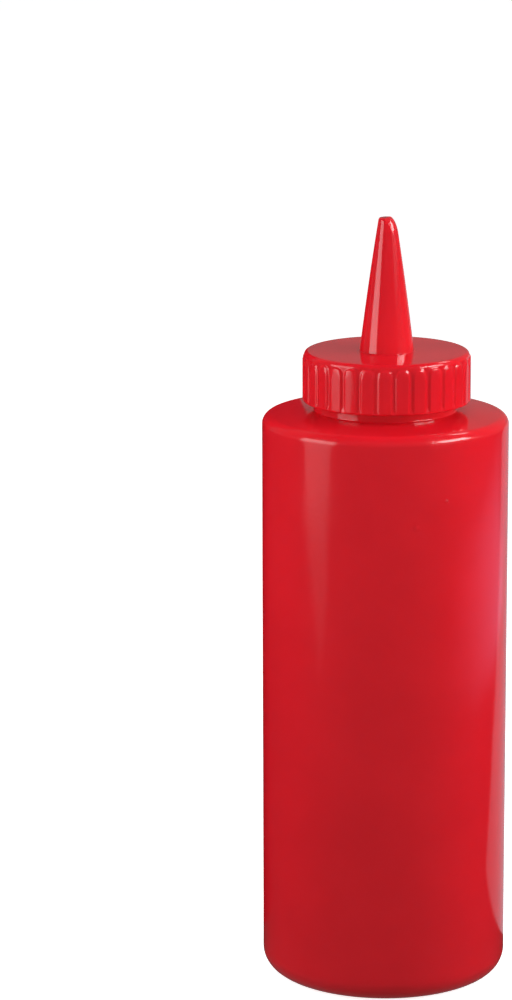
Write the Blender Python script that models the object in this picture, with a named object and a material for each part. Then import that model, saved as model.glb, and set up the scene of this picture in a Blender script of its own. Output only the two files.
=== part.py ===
"""Squeeze bottle: a round-shouldered plastic bottle with a ribbed screw cap and a long cone spout.

Metres, +Z up. The origin is the middle of the bottle's foot, on the surface that it stands on.
Two pieces: "bottle", blown in one piece with its neck, and "cap", moulded in one piece with its spout.
Run with: blender --background --python part.py
"""

import math

import bmesh
import bpy
from mathutils import Matrix, Vector

MM = 0.001

# Bottle
BODY_RADIUS = 31.0 * MM
SHOULDER_HEIGHT = 145.5 * MM      # top of the rounded shoulder edge
SHOULDER_EDGE_RADIUS = 2.5 * MM
SHOULDER_SLOPE_DEG = 5.5          # rise of the shoulder towards the neck
FOOT_EDGE_RADIUS = 5.6 * MM
FOOT_RING_WIDTH = 4.4 * MM        # flat ring that the bottle stands on
PUSH_UP_HEIGHT = 1.8 * MM         # shallow dome under the foot
NECK_RADIUS = 17.8 * MM
NECK_FLARE_RADIUS = 1.0 * MM      # hollow curve from the shoulder up to the neck
NECK_TOP = 158.4 * MM
NECK_LIP_RADIUS = 0.6 * MM

# Cap
CAP_BOTTOM = 148.9 * MM
CAP_TOP = 161.5 * MM
CAP_RADIUS = 20.35 * MM           # plain wall between the ribs
CAP_TOP_EDGE_RADIUS = 0.9 * MM
FLANGE_RADIUS = 20.95 * MM        # plain band under the ribs
FLANGE_HEIGHT = 1.1 * MM
FLANGE_EDGE_RADIUS = 0.3 * MM
SOCKET_CLEARANCE = 0.4 * MM       # air between the neck and the cap
RIB_COUNT = 30
RIB_OUTER_RADIUS = 21.1 * MM      # from the cap's axis to the face of a rib
RIB_WIDTH = 2.8 * MM
RIB_EDGE_RADIUS = 0.4 * MM
RIB_TOP = 160.2 * MM              # crown of the rib's round top end
RIB_START_DEG = -91.0             # one rib stands here, counted from +X towards +Y

# Spout
SPOUT_TOP = 195.0 * MM
SPOUT_BASE_RADIUS = 6.8 * MM
SPOUT_TIP_RADIUS = 2.14 * MM
SPOUT_FILLET_RADIUS = 0.5 * MM
SPOUT_TIP_EDGE_RADIUS = 0.35 * MM
GATE_MARK_RADIUS = 0.45 * MM      # small dimple left by moulding
GATE_MARK_DEPTH = 0.3 * MM
SNIP_RADIUS = 8.0 * MM            # curve of the slanted face on the tip
SNIP_START_OFFSET = 0.55 * MM     # from the spout's axis to the slanted face, at the top
SNIP_START_DEG = 45.0
SNIP_END_DEG = 5.0
SNIP_TURN_DEG = -12.0             # the slanted face looks along +X, turned this much towards -Y

# Fineness
BODY_STEPS = 72
CAP_STEPS = 60                    # two for each rib
RIB_ARCH_STEPS = 8
RIB_BEVEL_STEPS = 2

PLASTIC_RED = (0.62, 0.012, 0.018, 1.0)
PLASTIC_ROUGHNESS = 0.25


def clear_scene():
    """Remove every object that the scene starts with."""
    for item in list(bpy.data.objects):
        bpy.data.objects.remove(item, do_unlink=True)


def plastic(name, roughness):
    """A plain red plastic."""
    material = bpy.data.materials.new(name)
    material.use_nodes = True
    shader = material.node_tree.nodes["Principled BSDF"]
    shader.inputs["Base Color"].default_value = PLASTIC_RED
    shader.inputs["Roughness"].default_value = roughness
    shader.inputs["Metallic"].default_value = 0.0
    material.diffuse_color = PLASTIC_RED
    return material


def arc(centre_r, centre_z, radius, start_deg, end_deg, steps):
    """Points of an arc in the (r, z) plane; 0 degrees points away from the axis and 90 up."""
    points = []
    for step in range(steps + 1):
        angle = math.radians(start_deg + (end_deg - start_deg) * step / steps)
        points.append((centre_r + radius * math.cos(angle), centre_z + radius * math.sin(angle)))
    return points


def add_object(name, bm, material=None, smooth_deg=35.0):
    """Turn a bmesh into an object, its round faces shaded smooth."""
    mesh = bpy.data.meshes.new(name)
    bmesh.ops.recalc_face_normals(bm, faces=bm.faces)
    bm.to_mesh(mesh)
    bm.free()
    item = bpy.data.objects.new(name, mesh)
    bpy.context.scene.collection.objects.link(item)
    if material:
        mesh.materials.append(material)
    mesh.shade_smooth()
    mesh.set_sharp_from_angle(angle=math.radians(smooth_deg))
    return item


def turned(outline, steps):
    """Bmesh of an (r, z) outline spun about Z; its first and last points lie on the axis."""
    bm = bmesh.new()
    verts = [bm.verts.new((r, 0.0, z)) for r, z in outline]
    edges = [bm.edges.new(pair) for pair in zip(verts, verts[1:])]
    bmesh.ops.spin(
        bm,
        geom=verts + edges,
        cent=(0.0, 0.0, 0.0),
        axis=(0.0, 0.0, 1.0),
        angle=math.tau,
        steps=steps,
        use_merge=True,
    )
    bmesh.ops.remove_doubles(bm, verts=bm.verts, dist=0.002 * MM)
    return bm


def bottle_outline():
    """Outline of the bottle from the middle of its foot, up the outside, to the middle of its neck."""
    ring_outer = BODY_RADIUS - FOOT_EDGE_RADIUS
    ring_inner = ring_outer - FOOT_RING_WIDTH
    dome_radius = (ring_inner**2 + PUSH_UP_HEIGHT**2) / (2 * PUSH_UP_HEIGHT)
    dome_half_deg = math.degrees(math.asin(ring_inner / dome_radius))
    outline = arc(0.0, PUSH_UP_HEIGHT - dome_radius, dome_radius, 90.0, 90.0 - dome_half_deg, 4)
    outline += arc(ring_outer, FOOT_EDGE_RADIUS, FOOT_EDGE_RADIUS, -90.0, 0.0, 7)

    edge_centre_r = BODY_RADIUS - SHOULDER_EDGE_RADIUS
    edge_centre_z = SHOULDER_HEIGHT - SHOULDER_EDGE_RADIUS
    edge_end_deg = 90.0 - SHOULDER_SLOPE_DEG
    outline += arc(edge_centre_r, edge_centre_z, SHOULDER_EDGE_RADIUS, 0.0, edge_end_deg, 6)

    slope = math.tan(math.radians(SHOULDER_SLOPE_DEG))
    edge_r, edge_z = outline[-1]
    neck_root_z = edge_z + (edge_r - NECK_RADIUS) * slope
    # The flare is tangent to both the sloping shoulder and the upright neck.
    flare_r = NECK_RADIUS + NECK_FLARE_RADIUS
    half_turn = math.radians((90.0 - SHOULDER_SLOPE_DEG) / 2)
    flare_z = neck_root_z + NECK_FLARE_RADIUS * math.tan(half_turn)
    outline += arc(flare_r, flare_z, NECK_FLARE_RADIUS, 270.0 - SHOULDER_SLOPE_DEG, 180.0, 6)

    lip_r = NECK_RADIUS - NECK_LIP_RADIUS
    lip_z = NECK_TOP - NECK_LIP_RADIUS
    outline += arc(lip_r, lip_z, NECK_LIP_RADIUS, 0.0, 90.0, 2)
    outline.append((0.0, NECK_TOP))
    return outline


def cap_outline():
    """Outline of cap and spout from the roof of the socket, down the inside, up the outside, to the tip."""
    socket_r = NECK_RADIUS + SOCKET_CLEARANCE
    socket_top = NECK_TOP + SOCKET_CLEARANCE
    outline = [(0.0, socket_top), (socket_r, socket_top)]
    outline.append((socket_r, CAP_BOTTOM + FLANGE_EDGE_RADIUS))
    outline.append((socket_r + FLANGE_EDGE_RADIUS, CAP_BOTTOM))

    flange_edge_r = FLANGE_RADIUS - FLANGE_EDGE_RADIUS
    flange_edge_z = CAP_BOTTOM + FLANGE_EDGE_RADIUS
    outline += arc(flange_edge_r, flange_edge_z, FLANGE_EDGE_RADIUS, -90.0, 0.0, 2)
    flange_top = CAP_BOTTOM + FLANGE_HEIGHT
    ledge = FLANGE_RADIUS - CAP_RADIUS
    outline.append((FLANGE_RADIUS, flange_top))
    outline.append((CAP_RADIUS, flange_top + ledge / 2))

    edge_centre_r = CAP_RADIUS - CAP_TOP_EDGE_RADIUS
    edge_centre_z = CAP_TOP - CAP_TOP_EDGE_RADIUS
    outline += arc(edge_centre_r, edge_centre_z, CAP_TOP_EDGE_RADIUS, 0.0, 90.0, 5)

    taper = math.atan2(SPOUT_BASE_RADIUS - SPOUT_TIP_RADIUS, SPOUT_TOP - CAP_TOP)
    taper_deg = math.degrees(taper)
    fillet_gap = SPOUT_FILLET_RADIUS * math.tan((math.pi / 2 - taper) / 2)
    fillet_r = SPOUT_BASE_RADIUS + fillet_gap
    fillet_z = CAP_TOP + SPOUT_FILLET_RADIUS
    outline += arc(fillet_r, fillet_z, SPOUT_FILLET_RADIUS, 270.0, 180.0 + taper_deg, 3)

    tip_r = SPOUT_TIP_RADIUS - SPOUT_TIP_EDGE_RADIUS
    tip_z = SPOUT_TOP - SPOUT_TIP_EDGE_RADIUS
    outline += arc(tip_r, tip_z, SPOUT_TIP_EDGE_RADIUS, taper_deg, 90.0, 3)
    outline.append((GATE_MARK_RADIUS, SPOUT_TOP))
    outline.append((GATE_MARK_RADIUS / 2, SPOUT_TOP - GATE_MARK_DEPTH * 0.85))
    outline.append((0.0, SPOUT_TOP - GATE_MARK_DEPTH))
    return outline


def cap_ribs():
    """Bmesh of the upright ribs round the cap: bars with round tops, rooted in the cap's wall."""
    half_width = RIB_WIDTH / 2
    root_radius = CAP_RADIUS - RIB_EDGE_RADIUS
    foot_z = CAP_BOTTOM + FLANGE_HEIGHT / 2
    outline = [(half_width, foot_z)]
    outline += arc(0.0, RIB_TOP - half_width, half_width, 0.0, 180.0, RIB_ARCH_STEPS)
    outline.append((-half_width, foot_z))
    bm = bmesh.new()
    for number in range(RIB_COUNT):
        turn = Matrix.Rotation(math.radians(RIB_START_DEG) + math.tau * number / RIB_COUNT, 4, "Z")
        root = bm.faces.new([bm.verts.new(turn @ Vector((root_radius, y, z))) for y, z in outline])
        grown = bmesh.ops.extrude_face_region(bm, geom=[root])["geom"]
        outer = [item for item in grown if isinstance(item, bmesh.types.BMVert)]
        reach = turn @ Vector((RIB_OUTER_RADIUS - root_radius, 0.0, 0.0))
        bmesh.ops.translate(bm, verts=outer, vec=reach)
        rim = [item for item in grown if isinstance(item, bmesh.types.BMEdge)]
        bmesh.ops.bevel(
            bm,
            geom=rim,
            offset=RIB_EDGE_RADIUS,
            offset_type="OFFSET",
            segments=RIB_BEVEL_STEPS,
            profile=0.5,
            affect="EDGES",
        )
    return bm


def tip_snip():
    """Bmesh of the block that takes the slanted, slightly rounded face off the spout's tip."""
    start = math.radians(SNIP_START_DEG)
    centre_x = SNIP_START_OFFSET - SNIP_RADIUS * math.cos(start)
    centre_z = SPOUT_TOP - SNIP_RADIUS * math.sin(start)
    face = arc(centre_x, centre_z, SNIP_RADIUS, SNIP_START_DEG + 12.0, SNIP_END_DEG, 14)
    reach = 4 * SPOUT_TIP_RADIUS
    outline = face + [(face[-1][0] + reach, face[-1][1]), (face[-1][0] + reach, face[0][1])]
    bm = bmesh.new()
    side = bm.faces.new([bm.verts.new((x, -reach, z)) for x, z in outline])
    grown = bmesh.ops.extrude_face_region(bm, geom=[side])
    moved = [item for item in grown["geom"] if isinstance(item, bmesh.types.BMVert)]
    bmesh.ops.translate(bm, verts=moved, vec=(0.0, 2 * reach, 0.0))
    bmesh.ops.rotate(
        bm,
        verts=bm.verts,
        cent=(0.0, 0.0, 0.0),
        matrix=Matrix.Rotation(math.radians(SNIP_TURN_DEG), 3, "Z"),
    )
    return bm


def hide_tool(item):
    """Mark an object as a shaping tool, which isn't part of the bottle."""
    item.hide_render = True
    item.display_type = "WIRE"


def shape_with(item, tool, operation):
    """Join a tool's volume to a piece, or cut it away."""
    modifier = item.modifiers.new(tool.name, "BOOLEAN")
    modifier.object = tool
    modifier.operation = operation
    modifier.solver = "EXACT"


def build_bottle():
    """The blown bottle with its neck."""
    material = plastic("bottle_plastic", PLASTIC_ROUGHNESS)
    return add_object("bottle", turned(bottle_outline(), BODY_STEPS), material)


def build_cap():
    """The moulded cap: turned body and spout, ribs joined on, and the tip's slanted face cut."""
    material = plastic("cap_plastic", PLASTIC_ROUGHNESS)
    cap = add_object("cap", turned(cap_outline(), CAP_STEPS), material)
    ribs = add_object("cap_ribs_tool", cap_ribs())
    snip = add_object("tip_snip_tool", tip_snip())
    for tool in (ribs, snip):
        hide_tool(tool)
    shape_with(cap, ribs, "UNION")
    shape_with(cap, snip, "DIFFERENCE")
    return cap


def main():
    """Build the whole bottle, its pieces held by one empty at the middle of the foot."""
    clear_scene()
    stand = bpy.data.objects.new("squeeze_bottle", None)
    bpy.context.scene.collection.objects.link(stand)
    for piece in (build_bottle(), build_cap()):
        piece.parent = stand


main()
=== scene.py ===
"""Looks of the squeeze bottle: a glossy red blown bottle with a ribbed screw cap and a cone spout.

Each sub-assembly is a class that holds its sizes, builds its meshes and dresses them with a finish.
Everything is in metres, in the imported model's own frame: +Z up, the bottle's foot on z = 0, and the
viewer's side is -Y. Angles round the bottle are bearings: degrees from -Y, positive towards +X.
"""

import logging
import math
from collections.abc import Sequence
from dataclasses import dataclass
from enum import Enum
from typing import Any, Union

import bpy
from mathutils import Matrix, Vector, noise

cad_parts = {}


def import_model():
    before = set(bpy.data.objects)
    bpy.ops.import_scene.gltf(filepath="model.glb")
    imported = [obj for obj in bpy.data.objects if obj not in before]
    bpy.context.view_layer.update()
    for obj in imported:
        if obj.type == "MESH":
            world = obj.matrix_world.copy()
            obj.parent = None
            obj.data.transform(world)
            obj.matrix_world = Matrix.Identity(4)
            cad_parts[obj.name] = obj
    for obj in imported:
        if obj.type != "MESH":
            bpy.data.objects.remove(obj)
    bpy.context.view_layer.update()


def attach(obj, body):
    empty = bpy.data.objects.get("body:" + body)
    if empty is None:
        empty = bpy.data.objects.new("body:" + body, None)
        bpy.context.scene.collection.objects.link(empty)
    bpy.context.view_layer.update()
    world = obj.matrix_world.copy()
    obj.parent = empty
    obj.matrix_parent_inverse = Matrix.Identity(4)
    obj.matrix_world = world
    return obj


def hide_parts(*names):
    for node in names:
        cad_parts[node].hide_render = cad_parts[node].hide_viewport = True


MM = 0.001
BODY = "root"

Point = tuple[float, float]
Place = tuple[float, float, float]
Colour = tuple[float, float, float, float]
Value = Union["Wire", float, int]

log = logging.getLogger("squeeze_bottle")


# ---------------------------------------------------------------------------------------------
# Shader graphs
# ---------------------------------------------------------------------------------------------


class Wire:
    """A node's output socket that takes part in arithmetic: each expression adds its Math nodes."""

    def __init__(self, graph: "Graph", socket: bpy.types.NodeSocket | None) -> None:
        """Wrap a socket.

        Args:
            graph: the graph that the socket belongs to.
            socket: the output socket, or nothing for a node without outputs.
        """
        self.graph = graph
        self.socket = socket

    def __add__(self, other: Value) -> "Wire":
        """self + other."""
        return self.graph.maths("ADD", self, other)

    def __radd__(self, other: Value) -> "Wire":
        """other + self."""
        return self.graph.maths("ADD", other, self)

    def __sub__(self, other: Value) -> "Wire":
        """self - other."""
        return self.graph.maths("SUBTRACT", self, other)

    def __rsub__(self, other: Value) -> "Wire":
        """other - self."""
        return self.graph.maths("SUBTRACT", other, self)

    def __mul__(self, other: Value) -> "Wire":
        """self * other."""
        return self.graph.maths("MULTIPLY", self, other)

    def __rmul__(self, other: Value) -> "Wire":
        """other * self."""
        return self.graph.maths("MULTIPLY", other, self)

    def __truediv__(self, other: Value) -> "Wire":
        """self / other."""
        return self.graph.maths("DIVIDE", self, other)

    def __rtruediv__(self, other: Value) -> "Wire":
        """other / self."""
        return self.graph.maths("DIVIDE", other, self)


class Graph:
    """A material's node tree, written through wires."""

    def __init__(self, name: str) -> None:
        """Start an empty material.

        Args:
            name: the material's name.
        """
        self.material = bpy.data.materials.new(name)
        self.material.use_nodes = True
        self.tree = self.material.node_tree
        self.tree.nodes.clear()

    def add(
        self,
        kind: str,
        settings: dict[str, Any] | None = None,
        sockets: dict[str | int, Any] | None = None,
        out: str | int = 0,
    ) -> Wire:
        """Add a node of any kind.

        Args:
            kind: the node's type, such as ShaderNodeTexNoise.
            settings: its properties, set before the sockets.
            sockets: a value or a wire for each input, by name or number.
            out: the output that the wire takes.

        Returns:
            The wire of that output.
        """
        node = self.tree.nodes.new(kind)
        for key, value in (settings or {}).items():
            setattr(node, key, value)
        for key, value in (sockets or {}).items():
            if isinstance(value, Wire):
                self.tree.links.new(value.socket, node.inputs[key])
            else:
                node.inputs[key].default_value = value
        return Wire(self, node.outputs[out] if node.outputs else None)

    def maths(self, operation: str, first: Value, second: Value = 0.0) -> Wire:
        """Add a Math node.

        Args:
            operation: what the node does, such as MULTIPLY.
            first: the first value or wire.
            second: the second value or wire.

        Returns:
            The result.
        """
        return self.add("ShaderNodeMath", {"operation": operation}, {0: first, 1: second})

    def mix(self, share: Value, first: Wire | Colour, second: Wire | Colour) -> Wire:
        """Mix two colours.

        Args:
            share: how much of the second colour, from 0 to 1.
            first: the colour at 0.
            second: the colour at 1.

        Returns:
            The mixed colour.
        """
        return self.add("ShaderNodeMix", {"data_type": "RGBA"}, {0: share, 6: first, 7: second}, out=2)

    def place(self) -> Wire:
        """Object coordinates, in metres."""
        return self.add("ShaderNodeTexCoord", out="Object")

    def vector(self, operation: str, first: Wire, second: Wire | Place, out: str | int = 0) -> Wire:
        """Add a Vector Math node.

        Args:
            operation: what the node does, such as MULTIPLY.
            first: the first vector.
            second: the second vector.
            out: the output that the wire takes.

        Returns:
            The result.
        """
        return self.add("ShaderNodeVectorMath", {"operation": operation}, {0: first, 1: second}, out)

    def noise(self, coordinates: Wire, scale: float, detail: float = 2.0) -> Wire:
        """Smooth noise from 0 to 1.

        Args:
            coordinates: where it is read.
            scale: waves for each unit of length.
            detail: how many finer layers it has.

        Returns:
            The noise's value.
        """
        sockets = {"Vector": coordinates, "Scale": scale, "Detail": detail}
        return self.add("ShaderNodeTexNoise", None, sockets, out="Fac")

    def band(self, value: Wire, low: float, high: float) -> Wire:
        """A smooth step.

        Args:
            value: what is compared.
            low: where the step starts, at 0.
            high: where it ends, at 1.

        Returns:
            The step's value, from 0 to 1.
        """
        settings = {"interpolation_type": "SMOOTHSTEP", "clamp": True}
        return self.add("ShaderNodeMapRange", settings, {"Value": value, "From Min": low, "From Max": high})

    def spot(self, centre: Place, radius: float) -> Wire:
        """A soft spot round a place.

        Args:
            centre: the spot's middle.
            radius: how far it reaches.

        Returns:
            1 in the middle, 0 from the radius on.
        """
        away = self.vector("DISTANCE", self.place(), centre, out="Value")
        return 1 - self.band(away, radius * 0.3, radius)

    def bump(self, height: Wire) -> Wire:
        """A normal bent by a height in metres."""
        return self.add("ShaderNodeBump", None, {"Height": height, "Distance": 1.0, "Strength": 1.0})

    def finish(self, sockets: dict[str | int, Any]) -> bpy.types.Material:
        """End the material in a Principled shader.

        Args:
            sockets: its values and wires.

        Returns:
            The material.
        """
        shader = self.add("ShaderNodeBsdfPrincipled", None, sockets)
        self.add("ShaderNodeOutputMaterial", None, {"Surface": shader})
        return self.material


@dataclass(frozen=True)
class Scuff:
    """A small rubbed, wrinkled or nicked patch."""

    centre: Place
    radius: float
    depth: float
    stretch: Place
    """How tightly its wrinkles lie along X, Y and Z, in waves for each metre."""


@dataclass(frozen=True)
class RedPlastic:
    """Glossy red polyethylene, dyed through."""

    name: str
    colour: Colour
    deep_colour: Colour
    roughness: float
    smudge: float
    """How much rougher the handled patches are."""
    peel_depth: float
    """Depth of the fine orange peel, in metres."""
    line_depth: float
    """Depth of the upright lines that the forming left, in metres."""
    glow_depth: float = 1.5 * MM
    """How far red light travels under the surface."""
    glow_share: float = 0.35
    glow_tint: Place = (1.0, 0.12, 0.12)
    cloud_scale: float = 45.0
    """Waves of the faint clouds in the colour, for each metre; the scales below are of the same kind."""
    smudge_scale: float = 60.0
    line_scale: float = 520.0
    peel_scale: float = 700.0
    line_stretch: float = 0.04
    """How much slower the upright lines change along their length than across it."""
    scuffs: tuple[Scuff, ...] = ()
    gate: Place | None = None
    """The middle of the moulding's gate mark, if it has one."""
    gate_radius: float = 0.62 * MM
    gate_depth: float = 0.12 * MM
    # Painted shade: the gate mark's dark colour stands in for the shade inside its small dimple.
    gate_shade_colour: Colour = (0.16, 0.020, 0.022, 1.0)

    def material(self) -> bpy.types.Material:
        """Build the material.

        Returns:
            The material.
        """
        graph = Graph(self.name)
        place = graph.place()
        upright = graph.vector("MULTIPLY", place, (1.0, 1.0, self.line_stretch))
        clouds = graph.band(graph.noise(place, self.cloud_scale, 4.0), 0.3, 0.7)
        handled = graph.band(graph.noise(place, self.smudge_scale, 5.0), 0.45, 0.75)
        lines = graph.noise(upright, self.line_scale, 3.0)
        height = lines * self.line_depth + graph.noise(place, self.peel_scale) * self.peel_depth
        worn: Value = handled * self.smudge + lines * (self.smudge * 0.5)
        for scuff in self.scuffs:
            spot = graph.spot(scuff.centre, scuff.radius)
            wrinkles = graph.noise(graph.vector("MULTIPLY", place, scuff.stretch), 1.0, 3.0)
            height = height + spot * wrinkles * scuff.depth
            worn = worn + spot * self.smudge
        colour = graph.mix(clouds, self.colour, self.deep_colour)
        if self.gate:
            mark = graph.spot(self.gate, self.gate_radius)
            # Painted shade: the gate's dimple is darkened in colour as well as dented by the bump below.
            colour = graph.mix(mark, colour, self.gate_shade_colour)
            height = height - mark * self.gate_depth
        return graph.finish(
            {
                "Base Color": colour,
                "Roughness": worn + self.roughness,
                "Subsurface Weight": self.glow_share,
                "Subsurface Radius": self.glow_tint,
                "Subsurface Scale": self.glow_depth,
                "IOR": 1.5,
                "Normal": graph.bump(height),
            }
        )


BLOWN_RED = RedPlastic(
    name="blown_red_plastic",
    colour=(0.78, 0.0105, 0.0210, 1.0),
    deep_colour=(0.74, 0.0095, 0.0195, 1.0),
    roughness=0.10,
    smudge=0.05,
    peel_depth=0.0022 * MM,
    line_depth=0.0022 * MM,
    scuffs=(
        Scuff((-16.5 * MM, -26.3 * MM, 127.5 * MM), 11.0 * MM, 0.045 * MM, (420.0, 420.0, 1300.0)),
        Scuff((12.0 * MM, -28.5 * MM, 144.0 * MM), 4.0 * MM, 0.14 * MM, (900.0, 900.0, 900.0)),
        Scuff((7.8 * MM, -30.0 * MM, 122.7 * MM), 1.1 * MM, 0.2 * MM, (1500.0, 1500.0, 1500.0)),
        Scuff((15.2 * MM, -27.0 * MM, 128.8 * MM), 0.8 * MM, 0.2 * MM, (1500.0, 1500.0, 1500.0)),
        Scuff((-1.9 * MM, -30.9 * MM, 102.7 * MM), 0.8 * MM, 0.05 * MM, (1500.0, 1500.0, 1500.0)),
    ),
)
MOULDED_RED = RedPlastic(
    name="moulded_red_plastic",
    colour=(0.77, 0.0105, 0.0210, 1.0),
    deep_colour=(0.73, 0.0095, 0.0195, 1.0),
    roughness=0.07,
    smudge=0.03,
    peel_depth=0.0012 * MM,
    line_depth=0.0012 * MM,
    scuffs=(
        Scuff((3.6 * MM, -15.5 * MM, 161.5 * MM), 4.5 * MM, 0.012 * MM, (300.0, 1800.0, 300.0)),
        Scuff((-9.0 * MM, 4.0 * MM, 161.5 * MM), 9.0 * MM, 0.006 * MM, (500.0, 900.0, 300.0)),
    ),
    gate=(-0.55 * MM, 0.0, 195.0 * MM),
)


# ---------------------------------------------------------------------------------------------
# Meshes
# ---------------------------------------------------------------------------------------------


def arc(centre: Point, radius: float, start: float, end: float, steps: int) -> list[Point]:
    """Points of an arc in the (r, z) plane.

    Args:
        centre: the arc's centre.
        radius: its radius.
        start: where it starts, in degrees; 0 points away from the axis and 90 up.
        end: where it ends.
        steps: how many pieces it has.

    Returns:
        The points, both ends included.
    """
    points = []
    for step in range(steps + 1):
        angle = math.radians(start + (end - start) * step / steps)
        points.append((centre[0] + radius * math.cos(angle), centre[1] + radius * math.sin(angle)))
    return points


def line(start: Point, end: Point, steps: int) -> list[Point]:
    """Points of a straight line, without its start.

    Args:
        start: where it starts.
        end: where it ends.
        steps: how many pieces it has.

    Returns:
        The points after the start.
    """
    points = []
    for step in range(1, steps + 1):
        share = step / steps
        points.append((start[0] + (end[0] - start[0]) * share, start[1] + (end[1] - start[1]) * share))
    return points


def smooth_step(value: float, low: float, high: float) -> float:
    """A smooth step.

    Args:
        value: what is compared.
        low: where the step starts, at 0.
        high: where it ends, at 1.

    Returns:
        The step's value, from 0 to 1.
    """
    share = min(max((value - low) / (high - low), 0.0), 1.0)
    return share * share * (3.0 - 2.0 * share)


def between(table: Sequence[Point], value: float) -> float:
    """Read a table of (input, output) pairs, sorted by input, with straight lines between them.

    Args:
        table: the pairs.
        value: the input.

    Returns:
        The output.
    """
    for (low, first), (high, second) in zip(table, table[1:]):
        if value <= high:
            share = max((value - low) / (high - low), 0.0)
            return first + (second - first) * share
    return table[-1][1]


def bearing_place(bearing: float, radius: float, height: float) -> Vector:
    """The place at a bearing in degrees, a distance from the axis and a height."""
    turn = math.radians(bearing)
    return Vector((radius * math.sin(turn), -radius * math.cos(turn), height))


def mesh_object(name: str, vertices: Sequence[Vector], faces: Sequence[tuple[int, ...]]) -> bpy.types.Object:
    """Make an object and put it in the scene.

    Args:
        name: the object's name.
        vertices: its vertices.
        faces: its faces, as vertex numbers.

    Returns:
        The object.
    """
    mesh = bpy.data.meshes.new(name)
    mesh.from_pydata(vertices, [], faces)
    mesh.update()
    item = bpy.data.objects.new(name, mesh)
    bpy.context.scene.collection.objects.link(item)
    return item


def ring_object(name: str, rings: Sequence[Sequence[Vector]], sharp: float) -> bpy.types.Object:
    """A closed mesh of rings round the Z axis; its first and last rings close in a point each.

    Args:
        name: the object's name.
        rings: rings of equal length, anticlockwise from above, from the outline's start to its end.
        sharp: the angle in degrees from which an edge stays sharp.

    Returns:
        The object, shaded smooth.
    """
    count = len(rings[0])
    vertices = [point for ring in rings for point in ring]
    faces: list[tuple[int, ...]] = []
    for row in range(len(rings) - 1):
        low, high = row * count, (row + 1) * count
        for column in range(count):
            after = (column + 1) % count
            faces.append((low + column, low + after, high + after, high + column))
    for row, reverse in ((0, True), (len(rings) - 1, False)):
        pole = len(vertices)
        vertices.append(sum(rings[row], Vector()) / count)
        for column in range(count):
            here, after = row * count + column, row * count + (column + 1) % count
            faces.append((after, here, pole) if reverse else (here, after, pole))
    item = mesh_object(name, vertices, faces)
    item.data.shade_smooth()
    item.data.set_sharp_from_angle(angle=math.radians(sharp))
    return item


def settle(piece: bpy.types.Object, node: str, finish: bpy.types.Material) -> None:
    """Give a piece its finish and its place in the frame.

    Args:
        piece: the new piece.
        node: the solid that it stands for.
        finish: its material.
    """
    piece.data.materials.append(finish)
    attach(piece, BODY)
    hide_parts(node)
    log.info("%s: %d faces, stands for %s", piece.name, len(piece.data.polygons), node)


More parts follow.
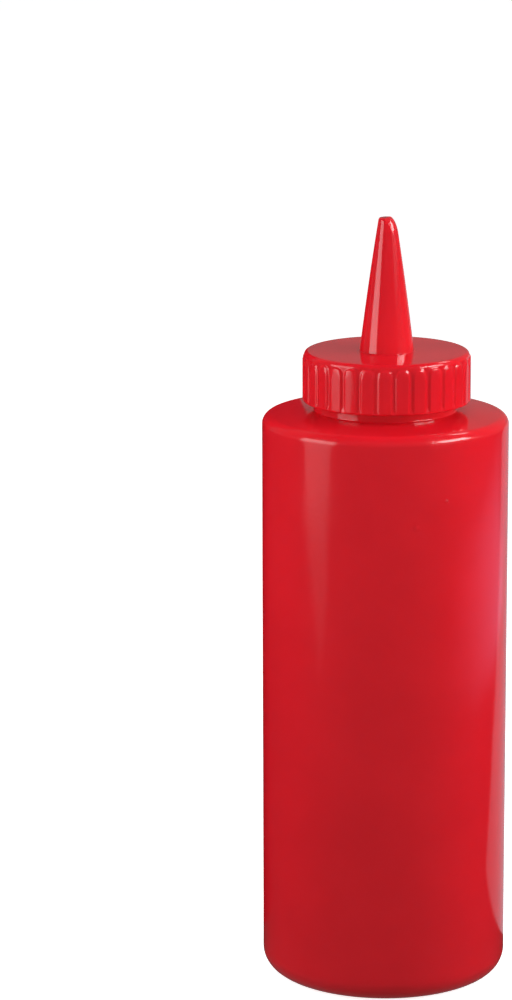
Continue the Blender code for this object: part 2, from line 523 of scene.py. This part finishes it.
@dataclass
class Bottle:
    """The blown bottle with its neck."""

    radius: float = 31.0 * MM
    shoulder_height: float = 145.5 * MM
    shoulder_edge: float = 2.5 * MM
    shoulder_slope: float = 5.5
    foot_edge: float = 5.6 * MM
    foot_ring: float = 4.4 * MM
    push_up: float = 1.8 * MM
    flare: float = 0.35 * MM
    neck_radius: float = 17.8 * MM
    neck_top: float = 158.4 * MM
    steps: int = 240
    ripple: float = 0.04 * MM
    """How far the blown wall draws in between its high spots."""
    ripple_span: float = 22.0 * MM
    """How tall one ripple is."""
    rippled_from: tuple[float, float] = (1.0 * MM, 12.0 * MM)
    """Heights between which the ripples and seams fade in, above the foot."""
    rippled_to: tuple[float, float] = (143.0 * MM, 149.0 * MM)
    """Heights between which they fade out, round the shoulder's edge."""
    seam_height: float = 0.035 * MM
    """How far the mould's parting line stands out."""
    seam_width: float = 0.3 * MM

    def outline(self) -> list[Point]:
        """The outline from the middle of the foot, up the outside, to the middle of the neck.

        Returns:
            Points (r, z).
        """
        ring_outer = self.radius - self.foot_edge
        ring_inner = ring_outer - self.foot_ring
        dome = (ring_inner**2 + self.push_up**2) / (2 * self.push_up)
        half = math.degrees(math.asin(ring_inner / dome))
        points = arc((0.0, self.push_up - dome), dome, 89.0, 90.0 - half, 24)
        points += line(points[-1], (ring_outer, 0.0), 4)
        points += arc((ring_outer, self.foot_edge), self.foot_edge, -90.0, 0.0, 16)[1:]
        edge_centre = (self.radius - self.shoulder_edge, self.shoulder_height - self.shoulder_edge)
        points += line(points[-1], (self.radius, edge_centre[1]), 110)
        points += arc(edge_centre, self.shoulder_edge, 0.0, 90.0 - self.shoulder_slope, 18)[1:]
        edge_r, edge_z = points[-1]
        root_z = edge_z + (edge_r - self.neck_radius) * math.tan(math.radians(self.shoulder_slope))
        flare_z = root_z + self.flare * math.tan(math.radians((90.0 - self.shoulder_slope) / 2))
        flare_centre = (self.neck_radius + self.flare, flare_z)
        turn = arc(flare_centre, self.flare, 270.0 - self.shoulder_slope, 180.0, 18)
        points += line(points[-1], turn[0], 20) + turn[1:]
        points += line(points[-1], (self.neck_radius, self.neck_top), 4)
        points += line(points[-1], (0.2 * MM, self.neck_top), 2)
        return points

    def bearings(self) -> list[float]:
        """Where the columns stand, with a few more beside the two parting lines.

        Returns:
            Angles from +X, in radians.
        """
        width = self.seam_width / self.radius
        even = [math.tau * step / self.steps for step in range(self.steps)]
        beside = [side + width * share for side in (0.0, math.pi) for share in (-1.0, -0.5, 0.5, 1.0)]
        return sorted(angle % math.tau for angle in even + beside)

    def wall(self, radius: float, angle: float, height: float) -> float:
        """The wall's radius: drawn in a little by ripples and, but for the seams, by the seams' height.

        Args:
            radius: the outline's radius.
            angle: the angle from +X.
            height: the height above the foot.

        Returns:
            The radius to use.
        """
        share = smooth_step(height, *self.rippled_from) * (1.0 - smooth_step(height, *self.rippled_to))
        place = Vector((math.cos(angle) * 1.6, math.sin(angle) * 1.6, height / self.ripple_span))
        wave = noise.noise(place) * 0.5 + 0.5
        ridge = math.exp(-((math.sin(angle) * self.radius / (self.seam_width * 0.5)) ** 2))
        return radius - share * (self.ripple * wave + self.seam_height * (1.0 - ridge))

    def build(self, finish: bpy.types.Material) -> bpy.types.Object:
        """Build and dress the bottle.

        Args:
            finish: its material.

        Returns:
            The piece.
        """
        bearings = self.bearings()
        rings = []
        for radius, height in self.outline():
            reach = [self.wall(radius, angle, height) for angle in bearings]
            rings.append(
                [Vector((r * math.cos(a), r * math.sin(a), height)) for r, a in zip(reach, bearings)]
            )
        piece = ring_object("bottle_body", rings, 40.0)
        settle(piece, "bottle", finish)
        return piece


@dataclass
class Cap:
    """The moulded screw cap with its spout: one moulding, shown as two meshes."""

    shift: Place = (0.28 * MM, 0.0, 0.0)
    """The cap sits a little off the bottle's axis, as far as the play round the neck lets it."""
    bottom: float = 148.9 * MM
    top: float = 161.5 * MM
    radius: float = 20.72 * MM
    top_edge: float = 1.05 * MM
    flange_radius: float = 20.95 * MM
    flange_height: float = 1.1 * MM
    socket_radius: float = 18.2 * MM
    socket_top: float = 158.8 * MM
    rib_count: int = 30
    rib_reach: float = 21.1 * MM
    rib_width: float = 2.6 * MM
    rib_edge: float = 0.8 * MM
    """How wide the soft edge is that falls from a rib's face to its groove."""
    rib_top: float = 160.2 * MM
    rib_bearing: float = -1.0
    """Where the middle line of the first rib stands."""
    rib_places: tuple[float, ...] = (0.0, 0.5, 0.85, 0.96, 1.04, 1.12, 1.2, 1.28, 1.36, 1.44, 1.52, 1.6)
    """Where columns stand beside a rib's middle line, in shares of half its width."""
    groove_foot: float = 0.75 * MM
    """How far above the flange a groove starts to curve out."""
    groove_curve: tuple[float, float] = (0.1 * MM, 1.6 * MM)
    """How far from a groove's foot its curve starts and ends."""
    soft_edge: float = 0.3 * MM
    """Radius of the edges round the skirt's foot."""
    spout_top: float = 195.0 * MM
    spout_base: float = 6.8 * MM
    spout_tip: float = 2.14 * MM
    spout_bulge: float = 0.17 * MM
    spout_fillet: float = 0.22 * MM
    tip_edge: float = 0.42 * MM
    spout_columns: int = 180
    snip: tuple[Point, ...] = (
        (0.0, 0.23), (0.17, 0.53), (0.42, 0.87), (0.67, 1.11), (1.17, 1.50),
        (1.91, 1.89), (3.15, 2.35), (4.40, 2.69), (5.60, 3.05), (9.0, 4.5),
    )
    """The slanted face: depth under the tip and distance from the axis, in millimetres."""
    snip_bearing: float = 65.0
    seam_bearing: float = 46.0
    seam_height: float = 0.05 * MM
    seam_width: float = 0.22 * MM
    seam_grain: float = 0.9 * MM
    """How long one rough spot of the spout's seam is."""
    tip_length: float = 6.5 * MM
    """How much of the spout's top is built in fine steps, for the slanted face."""

    def rib_pitch(self) -> float:
        """The distance from one rib to the next, along the skirt."""
        return math.tau * self.radius / self.rib_count

    def rib_offsets(self) -> list[float]:
        """Where the skirt's columns stand across one rib and its groove.

        Returns:
            Distances from the rib's middle line, along the skirt.
        """
        half = self.rib_width / 2
        right = [place * half for place in self.rib_places] + [self.rib_pitch() / 2]
        return [-place for place in reversed(right[1:-1])] + right

    def skirt_radius(self, across: float, height: float) -> float:
        """The skirt's outer radius.

        Args:
            across: distance from the middle line of the nearest rib.
            height: the height above the foot.

        Returns:
            The radius.
        """
        half = self.rib_width / 2
        spring = self.rib_top - half - self.rib_edge / 2
        away = math.hypot(across, max(height - spring, 0.0)) - half
        rise = (1.0 - smooth_step(away, 0.0, self.rib_edge)) * (self.rib_reach - self.radius)
        # The groove's foot curves out into the plain band below the ribs.
        groove = max(self.rib_pitch() / 2 - abs(across), 0.0)
        foot = self.bottom + self.flange_height + self.groove_foot
        out = smooth_step(math.hypot(groove, foot - height), *self.groove_curve) if height < foot else 0.0
        return self.radius + max(rise, out * (self.flange_radius - self.radius))

    def build_skirt(self, finish: bpy.types.Material) -> bpy.types.Object:
        """Build and dress the ribbed skirt with its flat top.

        Args:
            finish: its material.

        Returns:
            The piece.
        """
        columns = []
        for number in range(self.rib_count):
            middle = self.rib_bearing + 360.0 * number / self.rib_count
            for across in self.rib_offsets():
                columns.append((middle + math.degrees(across / self.radius), across))
        soft = self.soft_edge
        inner = [(0.2 * MM, self.socket_top), (self.socket_radius, self.socket_top)]
        inner += line(inner[-1], (self.socket_radius, self.bottom + soft), 2)
        inner += line(inner[-1], (self.socket_radius + soft, self.bottom), 1)
        inner += line(inner[-1], (self.flange_radius - soft, self.bottom), 1)
        inner += arc((self.flange_radius - soft, self.bottom + soft), soft, -90.0, 0.0, 4)[1:]
        wall = []
        height = self.bottom + soft
        top_wall = self.top - self.top_edge
        while height < top_wall - 0.01 * MM:
            curved = height < self.bottom + 2.2 * MM or height > self.rib_top - 1.8 * MM
            height = min(height + (0.11 * MM if curved else 1.2 * MM), top_wall)
            wall.append(height)
        edge = arc((self.radius - self.top_edge, top_wall), self.top_edge, 0.0, 90.0, 12)[1:]
        crown = line(edge[-1], (0.2 * MM, self.top), 8)
        rings = [[bearing_place(turn, r, z) for turn, _ in columns] for r, z in inner]
        for z in wall:
            rings.append([bearing_place(turn, self.skirt_radius(across, z), z) for turn, across in columns])
        rings += [[bearing_place(turn, r, z) for turn, _ in columns] for r, z in edge + crown]
        piece = ring_object("cap_skirt", rings, 75.0)
        piece.location = self.shift
        settle(piece, "cap", finish)
        return piece

    def taper(self) -> float:
        """How much the spout narrows for each metre of height."""
        return (self.spout_base - self.spout_tip) / (self.spout_top - self.top)

    def cone_radius(self, bearing: float, height: float) -> float:
        """The spout's radius before the slanted face is cut: a slightly bulging cone with a rough seam.

        Args:
            bearing: the bearing.
            height: the height above the foot.

        Returns:
            The radius.
        """
        down = (self.spout_top - height) / (self.spout_top - self.top)
        radius = self.spout_tip + self.taper() * (self.spout_top - height)
        radius += self.spout_bulge * 4.0 * down * (1.0 - down)
        away = math.radians(bearing - self.seam_bearing) * radius
        rough = noise.noise(Vector((0.0, 3.7, height / self.seam_grain))) + 0.25
        share = smooth_step(down, 0.03, 0.08) * (1.0 - smooth_step(down, 0.35, 0.7))
        ridge = math.exp(-((away / self.seam_width) ** 2))
        return radius + self.seam_height * max(rough, 0.0) * share * ridge

    def tip_outline(self, bearing: float) -> list[Point]:
        """The top of the spout at one bearing, with the slanted face cut off, up to the axis.

        Args:
            bearing: the bearing.

        Returns:
            Points (r, z), equally many at every bearing.
        """
        low = self.spout_top - self.tip_length
        round_centre = (self.spout_tip - self.tip_edge, self.spout_top - self.tip_edge)
        cone = [(0.0, low), *line((0.0, low), (0.0, round_centre[1]), 240)]
        whole = [(self.cone_radius(bearing, height), height) for _, height in cone]
        whole += arc(round_centre, self.tip_edge, 8.0, 90.0, 24)[1:]
        whole += line(whole[-1], (0.05 * MM, self.spout_top), 60)
        lean = math.cos(math.radians(bearing - self.snip_bearing))
        cut = []
        for reach, height in whole:
            if lean > 0.02:
                reach = min(reach, between(self.snip, (self.spout_top - height) / MM) * MM / lean**0.6)
            cut.append((reach, height))
        return soften(spread(cut, 110), 2)

    def build_spout(self, finish: bpy.types.Material) -> bpy.types.Object:
        """Build and dress the spout.

        Args:
            finish: its material.

        Returns:
            The piece.
        """
        slant = math.atan(self.taper())
        gap = self.spout_fillet * math.tan((math.pi / 2 - slant) / 2)
        centre = (self.spout_base + gap, self.top + self.spout_fillet)
        turn = arc(centre, self.spout_fillet, 270.0, 180.0 + math.degrees(slant), 8)
        sunk = self.top - 0.4 * MM
        columns = []
        for step in range(self.spout_columns):
            bearing = 360.0 * step / self.spout_columns
            tip = self.tip_outline(bearing)
            side = []
            for _, height in line(turn[-1], tip[0], 60)[:-1]:
                side.append((self.cone_radius(bearing, height), height))
            outline = [(0.2 * MM, sunk), (turn[0][0], sunk)] + turn + side + tip
            columns.append([bearing_place(bearing, r, z) for r, z in outline])
        rings = [list(ring) for ring in zip(*columns)]
        piece = ring_object("spout", rings, 60.0)
        piece.location = self.shift
        settle(piece, "cap", finish)
        return piece

    def build(self, finish: bpy.types.Material) -> None:
        """Build and dress the whole cap.

        Args:
            finish: its material.
        """
        self.build_skirt(finish)
        self.build_spout(finish)


def spread(points: Sequence[Point], count: int) -> list[Point]:
    """Points at equal distances along a broken line.

    Args:
        points: the broken line.
        count: how many points to give.

    Returns:
        The points, both ends included.
    """
    lengths = [0.0]
    for before, after in zip(points, points[1:]):
        lengths.append(lengths[-1] + math.dist(before, after))
    result = []
    index = 0
    for step in range(count):
        target = lengths[-1] * step / (count - 1)
        while index < len(points) - 2 and lengths[index + 1] < target:
            index += 1
        span = max(lengths[index + 1] - lengths[index], 1e-12)
        share = (target - lengths[index]) / span
        before, after = points[index], points[index + 1]
        result.append(
            (before[0] + (after[0] - before[0]) * share, before[1] + (after[1] - before[1]) * share)
        )
    return result


def soften(points: Sequence[Point], rounds: int) -> list[Point]:
    """Round off the corners of a broken line, its ends kept.

    Args:
        points: the broken line.
        rounds: how many times each point moves towards its neighbours.

    Returns:
        The rounded line.
    """
    result = list(points)
    for _ in range(rounds):
        inner = [
            ((before[0] + 2 * here[0] + after[0]) / 4, (before[1] + 2 * here[1] + after[1]) / 4)
            for before, here, after in zip(result, result[1:], result[2:])
        ]
        result = [result[0], *inner, result[-1]]
    return result


# ---------------------------------------------------------------------------------------------
# Studio
# ---------------------------------------------------------------------------------------------


class Lights(Enum):
    """What a glowing sheet acts on: dull surfaces or reflections."""

    DULL = "dull"
    GLOSS = "gloss"


@dataclass
class Sheet:
    """A glowing sheet that the camera doesn't see, woven from rows of (place, glow) pairs."""

    name: str
    rows: list[list[tuple[Vector, float]]]
    strength: float
    lights: Lights
    colour: Colour = (1.0, 1.0, 1.0, 1.0)

    def build(self) -> bpy.types.Object:
        """Build the sheet.

        Returns:
            The sheet.
        """
        width = len(self.rows[0])
        faces = []
        for row in range(len(self.rows) - 1):
            for column in range(width - 1):
                here = row * width + column
                faces.append((here, here + 1, here + 1 + width, here + width))
        sheet = mesh_object(self.name, [place for row in self.rows for place, _ in row], faces)
        glow = sheet.data.attributes.new("glow", "FLOAT", "POINT")
        glow.data.foreach_set("value", [value for row in self.rows for _, value in row])
        sheet.data.materials.append(self.light())
        sheet.visible_camera = False
        sheet.visible_shadow = False
        sheet.visible_diffuse = self.lights is Lights.DULL
        sheet.visible_glossy = self.lights is Lights.GLOSS
        return sheet

    def light(self) -> bpy.types.Material:
        """The sheet's light.

        Returns:
            The material.
        """
        graph = Graph(self.name + "_light")
        glow = graph.add("ShaderNodeAttribute", {"attribute_name": "glow"}, out="Vector")
        tint = graph.vector("MULTIPLY", glow, self.colour[:3])
        shining = graph.add("ShaderNodeEmission", None, {"Color": tint, "Strength": self.strength})
        clear = graph.add("ShaderNodeBsdfTransparent")
        both = graph.add("ShaderNodeAddShader", None, {0: shining, 1: clear})
        graph.add("ShaderNodeOutputMaterial", None, {"Surface": both})
        return graph.material


@dataclass(frozen=True)
class Course:
    """One level of an upright sheet."""

    height: float
    start: float
    end: float
    glow: float


def upright_rows(distance: float, courses: Sequence[Course], fade: float) -> list[list[tuple[Vector, float]]]:
    """Rows of an upright sheet that curves round the bottle's axis.

    Args:
        distance: the distance from the axis.
        courses: its levels, from the lowest up, with their bearings and glow.
        fade: the degrees over which both sides fade out.

    Returns:
        The rows.
    """
    rows = []
    for course in courses:
        inner = [course.start + fade + (course.end - course.start - 2 * fade) * step / 8 for step in range(9)]
        row = [(bearing_place(course.start, distance, course.height), 0.0)]
        row += [(bearing_place(bearing, distance, course.height), course.glow) for bearing in inner]
        row.append((bearing_place(course.end, distance, course.height), 0.0))
        rows.append(row)
    return rows


@dataclass
class Studio:
    """The pale floor, the lights and the surroundings."""

    floor_size: float = 14.0
    floor_colour: Colour = (0.86, 0.86, 0.86, 1.0)
    floor_glow: float = 0.84
    surroundings: Colour = (0.19, 0.19, 0.185, 1.0)
    ground_glow: float = 0.09
    neighbour_middle: Place = (-54.5 * MM, 58.0 * MM, 0.0)
    neighbour_radius: float = 31.0 * MM
    neighbour_height: float = 190.0 * MM
    neighbour_colour: Colour = (0.5, 0.020, 0.032, 1.0)

    def strip_left(self) -> list[Sheet]:
        """The tall strip light on the left, narrower and dimmer at its lower end.

        Returns:
            The sheets.
        """
        courses = (
            Course(0.008, -64.0, -56.0, 0.0),
            Course(0.0145, -64.5, -55.5, 0.03),
            Course(0.0245, -65.0, -55.0, 0.085),
            Course(0.0345, -67.0, -52.0, 0.11),
            Course(0.044, -71.0, -51.5, 0.12),
            Course(0.0535, -75.5, -51.5, 0.135),
            Course(0.063, -76.5, -51.5, 0.18),
            Course(0.073, -77.0, -50.5, 0.27),
            Course(0.085, -77.5, -47.5, 0.36),
            Course(0.095, -79.0, -47.5, 0.42),
            Course(0.105, -80.0, -43.5, 0.42),
            Course(0.125, -81.0, -43.5, 0.9),
            Course(0.140, -81.0, -44.0, 1.35),
            Course(0.250, -81.0, -44.0, 1.6),
            Course(0.290, -81.0, -44.0, 0.0),
        )
        dull = (
            Course(0.03, -78.0, -52.0, 0.2),
            Course(0.12, -78.0, -52.0, 0.95),
            Course(0.35, -78.0, -52.0, 1.15),
        )
        return [
            Sheet("strip_left_gloss", upright_rows(0.3, courses, 2.0), 2.3, Lights.GLOSS),
            Sheet("strip_left_dull", upright_rows(0.3, dull, 2.0), 5.1, Lights.DULL),
        ]

    def box_right(self) -> list[Sheet]:
        """The raised soft box on the right.

        Returns:
            The sheets.
        """
        gloss = (
            Course(0.200, 48.0, 100.0, 0.0),
            Course(0.212, 48.0, 100.0, 0.035),
            Course(0.248, 48.0, 100.0, 0.04),
            Course(0.262, 48.0, 86.0, 1.0),
            Course(0.400, 48.0, 86.0, 1.0),
            Course(0.425, 50.0, 84.0, 0.0),
        )
        dull = (
            Course(0.10, 48.0, 92.0, 0.5),
            Course(0.20, 48.0, 92.0, 1.0),
            Course(0.42, 48.0, 92.0, 0.6),
        )
        return [
            Sheet("box_right_gloss", upright_rows(0.4, gloss, 2.0), 12.5, Lights.GLOSS),
            Sheet("box_right_dull", upright_rows(0.4, dull, 4.0), 5.9, Lights.DULL),
        ]

    def surround(self) -> list[Sheet]:
        """What the gloss mirrors all round, paler behind than in front, and a bright card near the tip.

        Returns:
            The sheets.
        """
        around = (
            (-180.0, 0.2), (-125.0, 0.2), (-100.0, 0.12), (60.0, 0.15),
            (100.0, 0.12), (130.0, 0.18), (180.0, 0.2),
        )
        turns = [15.0 * step for step in range(-12, 13)]
        rows = []
        for height in (0.0, 0.6, 2.4):
            rows.append([(bearing_place(turn, 1.6, height), between(around, turn)) for turn in turns])
        window = (
            Course(0.2045, 100.0, 114.0, 0.0),
            Course(0.2080, 101.0, 116.0, 1.0),
            Course(0.2310, 113.0, 128.0, 1.0),
            Course(0.2350, 115.0, 130.0, 0.0),
        )
        return [
            Sheet("surround_gloss", rows, 1.0, Lights.GLOSS),
            Sheet("window_gloss", upright_rows(0.06, window, 2.0), 8.0, Lights.GLOSS),
        ]

    def ceiling(self) -> list[Sheet]:
        """The broad light overhead, brighter towards the right, and a weak fill from the front.

        Returns:
            The sheets.
        """
        across = ((-0.6, 0.7), (0.1, 0.8), (0.9, 1.7))
        rows = [[(Vector((x, y, 0.75)), glow) for x, glow in across] for y in (0.4, -0.35)]
        front = (Course(0.24, -15.0, 35.0, 1.0), Course(0.45, -15.0, 35.0, 1.0))
        return [
            Sheet("ceiling_dull", rows, 1.05, Lights.DULL),
            Sheet("front_dull", upright_rows(0.4, front, 8.0), 0.9, Lights.DULL),
        ]

    def ground(self) -> list[Sheet]:
        """The ground's shine: a faint glow all over, a lit patch at the right and a bluish pool beyond it.

        Returns:
            The sheets.
        """
        wide = 3.0
        under = -1.0 * MM
        dull = [[(Vector((x, y, under)), 1.0) for x in (-wide, wide)] for y in (-wide, wide)]
        around = (
            (-180.0, 0.04), (-130.0, 0.03), (-100.0, 0.055), (-70.0, 0.11), (-40.0, 0.15), (40.0, 0.15),
            (80.0, 0.08), (100.0, 0.04), (140.0, 0.025), (180.0, 0.04),
        )
        turns = [10.0 * step for step in range(-18, 19)]
        fan = []
        for reach in (0.02, 0.6, wide):
            fan.append([(bearing_place(turn, reach, under), between(around, turn)) for turn in turns])
        level = 0.3 * MM
        patch = []
        for y, right, glow in (
            (0.0225, 0.114, 1.0), (0.055, 0.152, 1.0), (0.113, 0.208, 1.0),
            (0.165, 0.240, 0.95), (0.30, 0.321, 0.85), (2.4, 1.74, 0.75),
        ):
            patch.append([(Vector((0.03, y, level)), glow), (Vector((right, y, level)), glow)])
        pool = []
        for y, edges, glow in (
            (-0.20, (0.26, 0.33, 0.50, 0.58), 0.0),
            (-0.05, (0.27, 0.34, 0.50, 0.58), 0.5),
            (0.08, (0.28, 0.335, 0.50, 0.60), 0.95),
            (0.20, (0.25, 0.30, 0.47, 0.60), 1.05),
            (0.32, (0.22, 0.27, 0.44, 0.58), 0.85),
            (0.40, (0.22, 0.27, 0.46, 0.58), 0.3),
            (0.54, (0.22, 0.27, 0.50, 0.60), 0.0),
        ):
            row = zip(edges, (0.0, glow, glow, 0.0))
            pool.append([(Vector((x, y, 2 * level)), share) for x, share in row])
        return [
            Sheet("ground_dull", dull, self.ground_glow, Lights.DULL),
            Sheet("ground_gloss", fan, 1.0, Lights.GLOSS),
            Sheet("ground_patch", patch, 0.50, Lights.GLOSS, (0.89, 0.89, 1.0, 1.0)),
            Sheet("ground_pool", pool, 0.65, Lights.GLOSS, (0.62, 0.62, 1.0, 1.0)),
        ]

    def build_neighbour(self) -> None:
        """Build the plain red column behind on the left, which only reflections see."""
        steps = 48
        middle = Vector(self.neighbour_middle)
        places = []
        for height in (0.0, self.neighbour_height):
            for step in range(steps):
                places.append(middle + bearing_place(360.0 * step / steps, self.neighbour_radius, height))
        faces = [(i, (i + 1) % steps, (i + 1) % steps + steps, i + steps) for i in range(steps)]
        faces.append(tuple(range(steps, 2 * steps)))
        column = mesh_object("red_neighbour", places, faces)
        graph = Graph("neighbour_red")
        sockets = {"Base Color": self.neighbour_colour, "Roughness": 0.6, "Specular IOR Level": 0.0}
        column.data.materials.append(graph.finish(sockets))
        column.visible_camera = False
        column.visible_shadow = False
        column.visible_diffuse = False

    def build_floor(self) -> None:
        """Build the pale floor."""
        half = self.floor_size / 2
        signs = ((-1.0, -1.0), (1.0, -1.0), (1.0, 1.0), (-1.0, 1.0))
        corners = [Vector((x * half, y * half, 0.0)) for x, y in signs]
        floor = mesh_object("floor", corners, [(0, 1, 2, 3)])
        graph = Graph("pale_floor")
        floor.data.materials.append(
            graph.finish(
                {
                    "Base Color": self.floor_colour,
                    "Roughness": 0.9,
                    "Specular IOR Level": 0.0,
                    "Emission Color": (1.0, 1.0, 1.0, 1.0),
                    "Emission Strength": self.floor_glow,
                }
            )
        )
        floor.visible_glossy = False
        floor.visible_diffuse = False

    def build(self) -> None:
        """Build the floor, the surroundings and the lights."""
        self.build_floor()
        self.build_neighbour()
        world = bpy.data.worlds.new("studio")
        world.use_nodes = True
        world.node_tree.nodes["Background"].inputs["Color"].default_value = self.surroundings
        bpy.context.scene.world = world
        world.cycles_visibility.glossy = False
        sheets = self.strip_left() + self.box_right() + self.surround() + self.ceiling() + self.ground()
        for sheet in sheets:
            sheet.build()
        log.info("studio: floor and %d glowing sheets", len(sheets))


@dataclass
class Viewpoint:
    """The camera: a long lens from the front, looking slightly down."""

    distance: float = 976.6 * MM
    height: float = 345.2 * MM
    pitch: float = 12.814
    yaw: float = 1.909
    roll: float = 0.184
    focal_share: float = 3.9707
    """Focal length as a multiple of the picture's height."""
    film: float = 36.0

    def build(self) -> None:
        """Build the camera and use it."""
        pitch, yaw, roll = (math.radians(angle) for angle in (self.pitch, self.yaw, self.roll))
        ahead = Vector((-math.sin(yaw) * math.cos(pitch), math.cos(yaw) * math.cos(pitch), -math.sin(pitch)))
        right = Vector((math.cos(yaw), math.sin(yaw), 0.0))
        up = right.cross(ahead)
        across = math.cos(roll) * right - math.sin(roll) * up
        upward = math.sin(roll) * right + math.cos(roll) * up
        data = bpy.data.cameras.new("camera")
        data.sensor_width = self.film
        data.lens = self.focal_share * self.film
        data.clip_start = 0.05
        camera = bpy.data.objects.new("camera", data)
        camera.matrix_world = Matrix(
            (
                (across.x, upward.x, -ahead.x, 0.0),
                (across.y, upward.y, -ahead.y, -self.distance),
                (across.z, upward.z, -ahead.z, self.height),
                (0.0, 0.0, 0.0, 1.0),
            )
        )
        bpy.context.scene.collection.objects.link(camera)
        bpy.context.scene.camera = camera


def main() -> None:
    """Build the bottle, its cap and the studio round them."""
    logging.basicConfig(level=logging.INFO, format="%(message)s")
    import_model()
    Bottle().build(BLOWN_RED.material())
    Cap().build(MOULDED_RED.material())
    Studio().build()
    Viewpoint().build()
    bpy.context.scene.view_settings.view_transform = "Standard"


if __name__ == "__main__":
    main()
